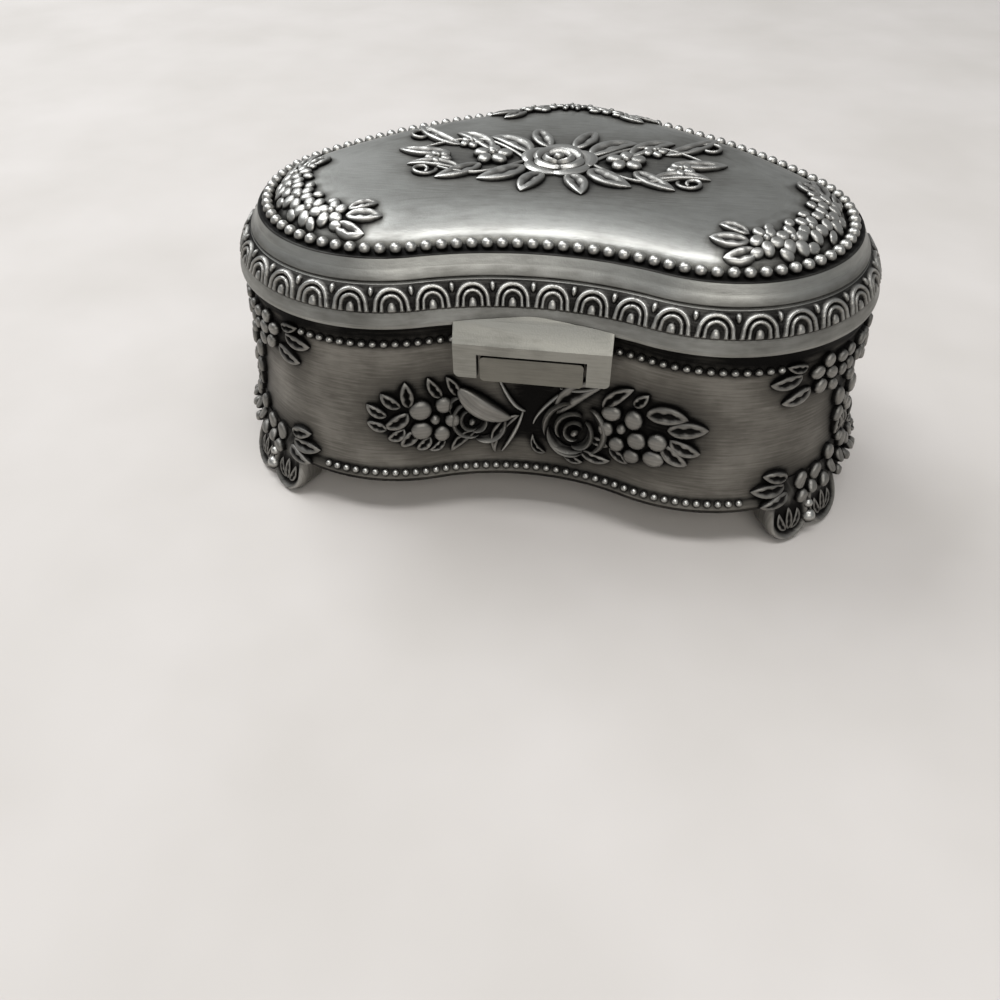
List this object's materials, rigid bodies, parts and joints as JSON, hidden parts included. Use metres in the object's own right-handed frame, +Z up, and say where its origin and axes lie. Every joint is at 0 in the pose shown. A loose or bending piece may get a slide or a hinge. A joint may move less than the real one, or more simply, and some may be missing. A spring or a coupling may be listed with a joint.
{
  "type": "rosary box",
  "caption": "Heart-shaped cast metal box on scroll feet, with a hinged domed lid, front clasp and velvet lining, for keeping a rosary",
  "frame": {"origin": "on the surface the box stands on, under the middle of its overall width and depth", "axes": "+X to the right seen from the clasp, +Y from the clasp towards the hinge, +Z up"},
  "size_m": [0.1092, 0.0765, 0.0502],
  "materials": {
    "lid_metal": "antiqued pewter-coloured zinc casting, brushed on the high places",
    "body_metal": "antiqued pewter-coloured zinc casting, darker patina",
    "base_metal": "dull antiqued plate",
    "clasp_metal": "smooth satin, paler than the castings",
    "pin_steel": "drawn wire",
    "velvet": "short-pile velvet",
    "card": "grey-brown card"
  },
  "bodies": {
    "box": {"body_shell": "body_metal", "base_plate": "base_metal", "foot_left": "body_metal", "foot_right": "body_metal", "foot_back": "body_metal", "catch_block": "clasp_metal", "hinge_bracket": "body_metal", "hinge_pin": "pin_steel", "wall_lining": "velvet", "floor_pad": "velvet"},
    "lid": {"lid_shell": "lid_metal", "clasp_tab": "clasp_metal", "hinge_knuckle": "lid_metal", "lid_card": "card", "lid_pad": "velvet"}
  },
  "joints": [
    {"name": "lid_hinge", "type": "hinge", "parent": "box", "child": "lid", "pos_m": [0, 0.03633, 0.0365], "axis": [-1, 0, 0], "range_deg": [0, 100]}
  ]
}
